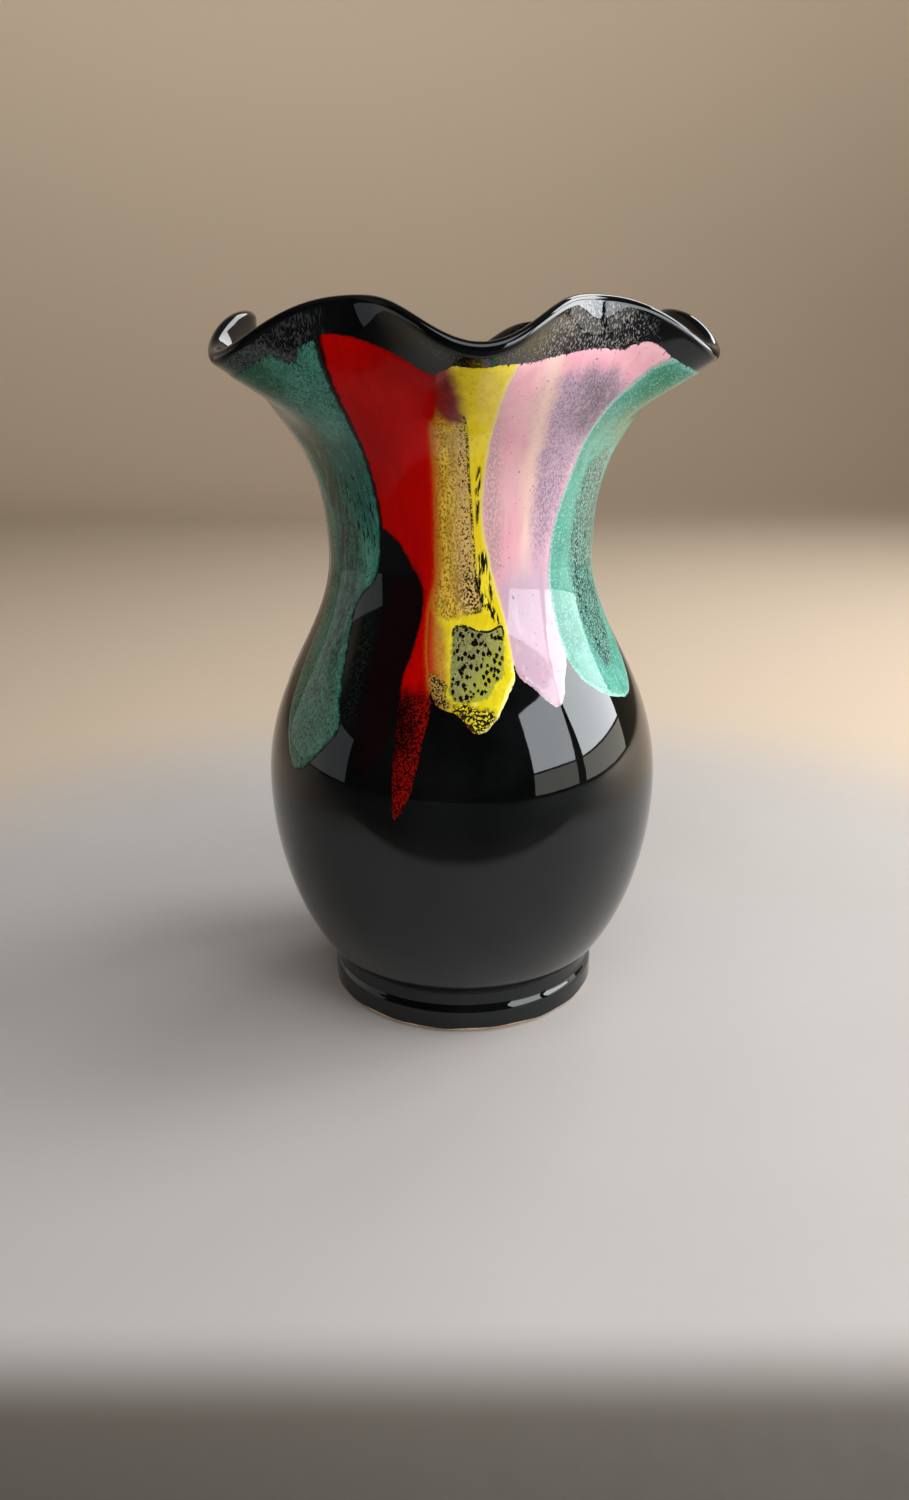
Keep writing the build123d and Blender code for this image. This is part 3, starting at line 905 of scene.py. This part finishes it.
# ---- zones in the coloured runs
# Each outline is a list of azimuths and ways.
UNDER_LIP = [(-14, 3), (2, 3), (2, 2.6), (-14, 2.62)]
ZONES = {
    "green_deep": {
        "grass": [(-62, 2.96), (-46, 2.96), (-46, 2.84), (-52, 2.72), (-60, 2.75), (-66, 2.85)],
        "deep": [(-70, 2.55), (-58, 2.7), (-48, 2.45), (-35, 2.45), (-34, 2.1), (-44, 2.12), (-56, 2.2)]
        + [(-68, 2.25)],
        "fern": [(-72, 2.5), (-62, 2.62), (-56, 2.45), (-57, 2.2), (-66, 2.15)],
        "veil": [(-62, 2.15), (-50, 2.15), (-42, 2), (-46, 1.8), (-45, 1.55), (-42, 1.4), (-50, 1.35)]
        + [(-58, 1.6)],
        "sage": [(-74, 2.1), (-66, 2.1), (-61, 1.7), (-58, 1.4), (-62, 1.3), (-70, 1.6)],
        "bulb": [(-62, 1.5), (-52, 1.55), (-42, 1.42), (-40, 1.3), (-50, 1.15), (-60, 1.22)],
        "cracks": [(-59, 2.55), (-55, 2.5), (-54, 2.25), (-40, 2.3), (-35, 2.2), (-35, 2.02)]
        + [(-40, 2.02), (-57, 2.2)],
    },
    "green_mint": {
        "strip": [(54, 2.9), (66, 2.85), (84, 2.7), (84, 2.42), (68, 2.42), (56, 2.6)],
        "centre": [(55, 2.25), (60, 2.33), (75, 2.36), (78, 2.1), (75, 1.85), (70, 1.66), (64, 1.55)]
        + [(58, 1.52)]
        + [(55, 1.6), (53, 1.8), (52, 2.05)],
    },
    "red": {
        "wash": [(-34, 2), (-18, 1.99), (-15.6, 1.9), (-16.5, 1.78), (-22, 1.7), (-34, 1.8)],
        "glow": [(-22, 2.1), (-11, 2.1), (-12, 1.8), (-11, 1.52), (-18, 1.5), (-19, 1.62), (-15, 1.85)]
        + [(-16, 1.96)],
        "tail": [(-24, 1.44), (-6, 1.46), (-6, 1), (-24, 1)],
        "glint": [(-13, 1.5), (-7, 1.5), (-9, 1.3), (-14, 1.05), (-20, 1), (-21, 1.2), (-17, 1.27)]
        + [(-13.5, 1.3)],
        "upper": UNDER_LIP,
    },
    "yellow": {
        "mustard": [(-12, 2.55), (-7, 2.66), (-3, 2.64), (0.8, 2.62), (1.9, 2.52), (2.6, 2.38), (3.4, 2.24)]
        + [(4.5, 2.12), (5.7, 2), (7.2, 1.91), (8, 1.84), (2, 1.82), (-6, 1.8), (-14, 1.9), (-13, 2.2)],
        "tan": [(-1.5, 2.6), (3, 2.6), (5, 2.2), (9, 1.9), (9, 1.82), (2.5, 1.82), (-1, 1.92), (-1.5, 2.2)],
        "maroon": [(-7, 2.98), (-3, 2.95), (-0.6, 2.86), (0.5, 2.7), (1.2, 2.58), (-1.5, 2.57)]
        + [(-5, 2.6), (-9, 2.75)],
        "upper": UNDER_LIP,
        "fringe": [(-14, 1.85), (-7, 1.78), (-5.4, 1.7), (-5, 1.55), (-14, 1.5)],
        "olive": [(-14, 1.56), (-6, 1.56), (-4.8, 1.5), (-3.6, 1.43), (-14, 1.4)],
        "leopard": [(-2.4, 1.765), (2, 1.77), (5, 1.755), (10, 1.745), (15, 1.765), (15.2, 1.7)]
        + [(14.4, 1.62)]
        + [(13.4, 1.56), (10.6, 1.53), (8.6, 1.485), (4, 1.465), (-2.6, 1.475), (-3.6, 1.56), (-3.2, 1.68)],
        "ashes": [(-4, 1.8), (12, 1.8), (11, 1.66), (4, 1.56), (-1, 1.46), (-5, 1.5)],
        "brow": [(-4, 1.85), (17, 1.85), (17, 1.73), (-4, 1.73)],
        "fleck": [(5.8, 2.29), (7.3, 2.3), (7, 2.13), (5.9, 2.13)],
        "curl": [(6.8, 2.03), (9.6, 2.04), (11.6, 1.98), (12.4, 1.88), (11.6, 1.84), (10.9, 1.92)]
        + [(9.6, 1.98), (7, 1.98)],
        "sweep": [(5.2, 2), (8.2, 1.96), (9.6, 1.9), (14.6, 1.8), (13, 1.775), (8.6, 1.86), (6.6, 1.9)],
        "foam": [(-3, 1.44), (2, 1.455), (5, 1.44), (10, 1.415), (10, 1.3), (1, 1.3)],
    },
    "pink": {
        "lilac": [(24, 2.72), (34, 2.76), (48, 2.72), (44, 2.4), (41, 2.12), (34, 2.02), (28, 2.05)]
        + [(26.5, 2.3)],
        "dusk": [(33, 2.72), (46, 2.7), (44, 2.48), (36, 2.46)],
        "cream": [(20.5, 2.86), (23, 2.86), (25, 2.6), (26.8, 2.3), (28, 2.05), (30, 1.85), (27, 1.85)]
        + [(23.5, 2.1)]
        + [(22, 2.4)],
        "lavender": [(17, 1.95), (40, 1.98), (40, 1.6), (30, 1.38), (16, 1.55)],
        "beige": [(10, 2.58), (13, 2.5), (14.5, 2.2), (16, 2.02), (10, 2), (8, 2.2)],
    },
}
LOOKS = {
    "green_deep": green_deep(),
    "green_mint": green_mint(),
    "red": red_glaze(),
    "yellow": yellow_glaze(),
    "pink": pink_glaze(),
}
for name in RUN_NAMES:
    key = name.split("_")[0]
    if key == "green":
        key = "green_deep" if name == "green_run_1" else "green_mint"
    # The zones are drawn for the first run of a colour, and for the second green one
    run_piece(name, LOOKS[key], ZONES[key], 1 if key == "green_mint" else 0)


# ---- black glazes and clay
azimuths = np.arange(COLUMNS) * 360.0 / COLUMNS


def way_steps(counts):
    """Ways from 0 up, with a given number of rows in each unit."""
    units = [np.linspace(unit, unit + 1, count)[:-1] for unit, count in enumerate(counts)]
    return np.concatenate(units + [[float(len(counts))]])


def base_glaze():
    """The black outside glaze: from its edge above the standing ring up to the lip's inner end."""
    corners = [
        (FOOT_RADIUS, GLAZE_FOOT_EDGE),
        (FOOT_RADIUS, FOOT_SHOULDER),
        (FOOT_WAIST_RADIUS, FOOT_WAIST_HEIGHT),
        BODY_START,
    ]
    foot = np.array(rounded(corners, FOOT_ROUNDING))
    waver = FOOT_EDGE_WAVER * (np.sin(np.radians(azimuths) * 7) + np.sin(np.radians(azimuths) * 17 + 1)) / 2
    rows = []
    for radius, height in foot[:-1]:
        share = np.clip((FOOT_SHOULDER - height) / (FOOT_SHOULDER - GLAZE_FOOT_EDGE), 0, 1)
        rows.append(placed(azimuths, pair(radius, height + share * waver)))
    ways = way_steps(OUTSIDE_ROWS)
    rows += [placed(azimuths, outside(azimuths, way)) for way in ways]
    first_inner = len(rows)
    rows += [placed(azimuths, outside(azimuths, way, GLAZE)) for way in np.linspace(4, 0, 40)]
    for radius, height in foot[:-1][::-1][:: len(foot) - 2]:
        height = np.maximum(height, GLAZE_FOOT_EDGE)
        rows.append(placed(azimuths, pair(radius - GLAZE, height + 0 * azimuths)))
    all_ways = np.concatenate([np.zeros(len(foot) - 1), ways, np.zeros(len(rows) - first_inner)])
    signed = (azimuths + 180) % 360 - 180
    places = chart(signed[None, :], all_ways[:, None])
    attributes = {key: depth_inside(places, outline) for key, outline in RIM_ZONES.items()}
    piece = turned_solid("base_glaze_skin", np.array(rows), outside_black(), True, attributes)
    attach(piece, "root")
    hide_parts("base_glaze")


def liner_glaze():
    """The black glaze poured over the inside, closed by an underside against the clay."""
    ways = way_steps(INSIDE_ROWS)
    under = [pair(0 * azimuths, FLOOR_TOP - GLAZE)]
    under += [inside(azimuths, way, 0.0) for way in ways[::3]] + [inside(azimuths, 3.0, 0.0)]
    over = [inside(azimuths, way, GLAZE) for way in ways[::-1]]
    over += [pair(radius + 0 * azimuths, FLOOR_TOP) for radius in (9.0, 5.0, 2.0, 0.0)]
    rows = np.array([placed(azimuths, section) for section in under + over])
    piece = turned_solid("liner_glaze_skin", rows, liner_black(), False)
    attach(piece, "root")
    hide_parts("liner_glaze")


# Spattered specks in the band between the colours and the lip, and two faint stains lower down
RIM_ZONES = {
    "olive": [(-6, 2.97), (4, 3.02), (14, 3.01), (20, 2.95), (16, 2.9), (4, 2.95)],
    "crackle": [(-46, 1.9), (-38, 1.92), (-33, 1.8), (-33, 1.42), (-38, 1.36), (-42, 1.5), (-45, 1.7)],
    "wash": [(-31, 1.9), (-20, 1.96), (-16, 1.9), (-17, 1.7), (-20, 1.4), (-26, 1.2), (-30, 1.35)]
    + [(-32, 1.6)],
    "pale": [(16, 2.96), (24, 3.02), (38, 3.03), (46, 2.97), (42, 2.86), (26, 2.84), (16, 2.88)],
    "streaks": [(-66, 2.94), (-58, 3.04), (-48, 3.04), (-46, 2.95), (-52, 2.92), (-62, 2.91)],
    "greys": [(-50, 2.96), (-46, 3.0), (-36, 3.0), (-34, 2.95), (-37, 2.87), (-43, 2.86), (-48, 2.91)],
}
base_glaze()
liner_glaze()
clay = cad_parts["clay_body"]
clay.data.materials.clear()
clay.data.materials.append(bisque_clay())


# ---- stage, lights and camera
FLOOR_EXTENT = 1.3
BACKDROP_BEND = 0.8
BACKDROP_TOP = 2.6
STREET_LIGHT = (1.0, 0.93, 0.8)
BACKDROP_LIGHT = (1.0, 0.96, 0.9)
WORLD_STRENGTH = 0.06


def stage():
    """A round floor, pale near the vase, that curves up all round into a backdrop of plain shape; their
    colour holds painted light and shade.
    """
    profile = [(0.001, 0.0), (0.15, 0.0), (0.4, 0.0), (0.8, 0.0), (FLOOR_EXTENT, 0.0)]
    for share in np.linspace(0, 1, 14)[1:]:
        turn = share * pi / 2
        profile.append((FLOOR_EXTENT + BACKDROP_BEND * sin(turn), BACKDROP_BEND * (1 - cos(turn))))
    profile.append((FLOOR_EXTENT + BACKDROP_BEND, BACKDROP_TOP))
    angles = np.radians(np.arange(FLOOR_SIDES) * 360 / FLOOR_SIDES)
    rows = []
    for radius, height in profile:
        rows.append([(radius * cos(angle), radius * sin(angle), height) for angle in angles])
    faces = grid_faces(len(rows), FLOOR_SIDES, wrap=True, flip=True)
    floor = make_object("floor_and_backdrop", np.array(rows), faces, pale_floor())


def softbox(name, azimuth, elevation, distance, width, height, brightness, colour=(1, 1, 1), back=False):
    """A soft light facing the belly, or turned its back on it. Brightness is its radiance."""
    a, e = radians(azimuth), radians(elevation)
    aim = Vector((0, 0, BELLY[1] * MM))
    away = Vector((sin(a) * cos(e), -cos(a) * cos(e), sin(e)))
    light = bpy.data.lights.new(name, "AREA")
    light.shape = "RECTANGLE"
    light.size = width
    light.size_y = height
    light.energy = brightness * width * height * pi
    light.color = colour
    lamp = bpy.data.objects.new(name, light)
    lamp.location = aim + away * distance
    lamp.rotation_euler = (-away if back else away).to_track_quat("Z", "Y").to_euler()
    lamp.visible_camera = False
    bpy.context.scene.collection.objects.link(lamp)
    return lamp


def lights():
    """A window of two panes, bright above and dim below, with soft fill from all round."""
    softbox("window_left_sky", 54, 20, 0.9, 0.44, 0.38, 5.8)
    softbox("window_right_sky", 91, 20, 0.9, 0.58, 0.38, 9.5)
    softbox("window_left_street", 54, 2.5, 0.9, 0.44, 0.15, 1.5, STREET_LIGHT)
    softbox("window_right_street", 91, 2.5, 0.9, 0.58, 0.15, 2.2, STREET_LIGHT)
    softbox("window_high", 106, 43, 1.0, 0.42, 0.3, 9.0)
    softbox("high_key", 8, 64, 1.1, 0.8, 0.6, 2.6)
    softbox("front_fill", -8, 4, 1.0, 0.9, 0.5, 3.4).visible_glossy = False
    softbox("backdrop_glow", 180, 40, 0.8, 0.6, 0.4, 9.0, BACKDROP_LIGHT, back=True)
    softbox("back_right", 145, 44, 1.0, 0.4, 0.3, 5.0)
    softbox("left_fill", -95, 8, 1.0, 1.0, 0.36, 0.5)
    world = bpy.data.worlds.new("studio")
    world.use_nodes = True
    background = world.node_tree.nodes["Background"]
    background.inputs["Color"].default_value = (0.9, 0.95, 1.0, 1.0)
    background.inputs["Strength"].default_value = WORLD_STRENGTH
    bpy.context.scene.world = world


CAMERA_PLACE = (0.0, -0.2537, 0.1427)
CAMERA_PITCH = 0.318  # downwards, radians
CAMERA_YAW = -0.007
CAMERA_ROLL = -0.009
CAMERA_LENS = 26.0  # millimetres, for a picture whose long side is CAMERA_SENSOR
CAMERA_SENSOR = 36.0


def camera():
    data = bpy.data.cameras.new("camera")
    data.sensor_width = CAMERA_SENSOR
    data.lens = CAMERA_LENS
    data.clip_start = 0.01
    data.clip_end = 20.0
    level_right = Vector((cos(CAMERA_YAW), -sin(CAMERA_YAW), 0))
    level = cos(CAMERA_PITCH)
    forward = Vector((sin(CAMERA_YAW) * level, cos(CAMERA_YAW) * level, -sin(CAMERA_PITCH)))
    level_up = level_right.cross(forward)
    right = level_right * cos(CAMERA_ROLL) + level_up * sin(CAMERA_ROLL)
    up = level_up * cos(CAMERA_ROLL) - level_right * sin(CAMERA_ROLL)
    turn = Matrix((right, up, -forward)).transposed().to_4x4()
    eye = bpy.data.objects.new("camera", data)
    eye.matrix_world = Matrix.Translation(CAMERA_PLACE) @ turn
    bpy.context.scene.collection.objects.link(eye)
    bpy.context.scene.camera = eye


stage()
lights()
camera()
bpy.context.scene.view_settings.view_transform = "Standard"
